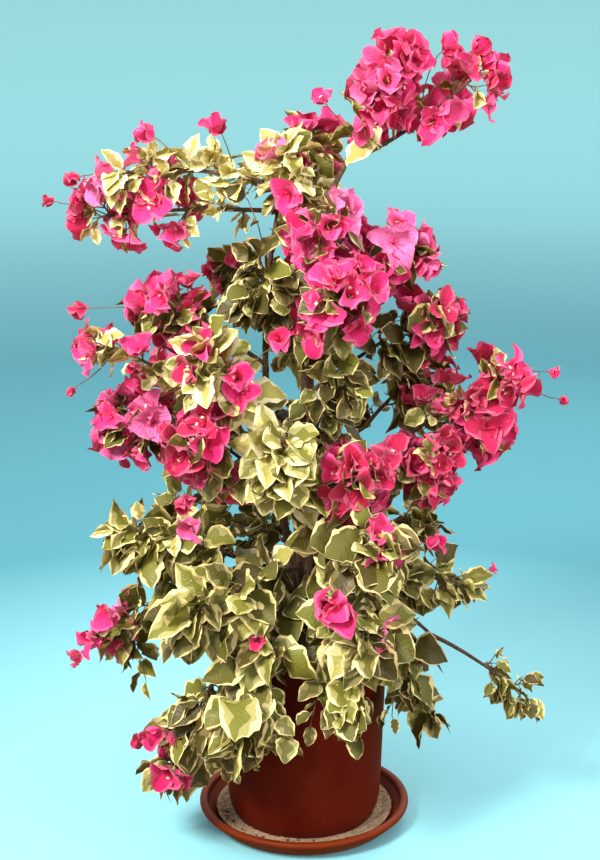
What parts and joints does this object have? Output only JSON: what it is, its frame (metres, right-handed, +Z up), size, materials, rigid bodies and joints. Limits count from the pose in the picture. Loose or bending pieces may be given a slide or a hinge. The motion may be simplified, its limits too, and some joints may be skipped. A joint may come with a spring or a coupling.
{
  "type": "potted bougainvillea bush",
  "caption": "Flowering shrub with arching canes, cream-edged leaves and papery pink blossom, rooted in a round plastic pot on a saucer.",
  "frame": {"origin": "centre of the saucer's flat underside, on the surface that the plant stands on", "axes": "+Z up, +X to the right and +Y away from the viewer, seen from the side with the long arching shoots to the left"},
  "size_m": [0.5985, 0.5085, 0.9977],
  "materials": {
    "pot": "semi-matte dark terracotta-coloured plastic with a faint dusty bloom",
    "saucer": "matte, slightly granular orange-brown plastic with a rolled lip",
    "grit": "dry pale sandy grit",
    "soil": "moist dark potting soil",
    "bark": "rough brown bark with small corky spots",
    "leaf": "waxy green leaves with irregular cream margins",
    "blossom": "papery magenta-pink bracts"
  },
  "bodies": {
    "root": {"saucer": "saucer", "pot": "pot", "grit": "grit", "soil": "soil", "trunk": "bark", "cane_crest": "bark", "cane_left": "bark", "cane_back": "bark", "cane_right": "bark", "cane_front": "bark", "cane_low_left": "bark", "cane_low_right": "bark", "cane_low_back": "bark", "bough_left": "bark", "bough_right_thin": "bark", "bough_left_droop": "bark", "bough_back_left": "bark", "bough_back_right": "bark", "crest": "blossom", "crest_tail": "blossom", "top_leaves": "leaf", "arm_upper": "blossom", "arm_lower": "blossom", "upper_pink": "blossom", "upper_right": "blossom", "front_pink": "blossom", "shoulder": "blossom", "left_upper": "blossom", "heart_upper": "leaf", "left_cream": "leaf", "left_outer": "blossom", "left_inner": "blossom", "cream_band": "leaf", "heart_mid": "leaf", "right_inner": "blossom", "right_outer": "blossom", "right_arm": "blossom", "right_arm_low": "blossom", "low_left": "leaf", "left_skirt": "blossom", "low_front_left": "leaf", "low_front": "leaf", "low_front_right": "leaf", "low_right": "leaf", "right_low": "leaf", "right_skirt": "leaf", "right_thin": "leaf", "left_droop": "leaf", "front_thin": "leaf", "centre_cream": "leaf", "back_top": "leaf", "back_left_high": "blossom", "back_right_high": "blossom", "back_mid": "leaf", "back_left": "blossom", "back_right": "blossom", "back_low": "leaf", "back_low_left": "leaf", "back_low_right": "leaf", "back_skirt": "leaf"}
  },
  "joints": []
}
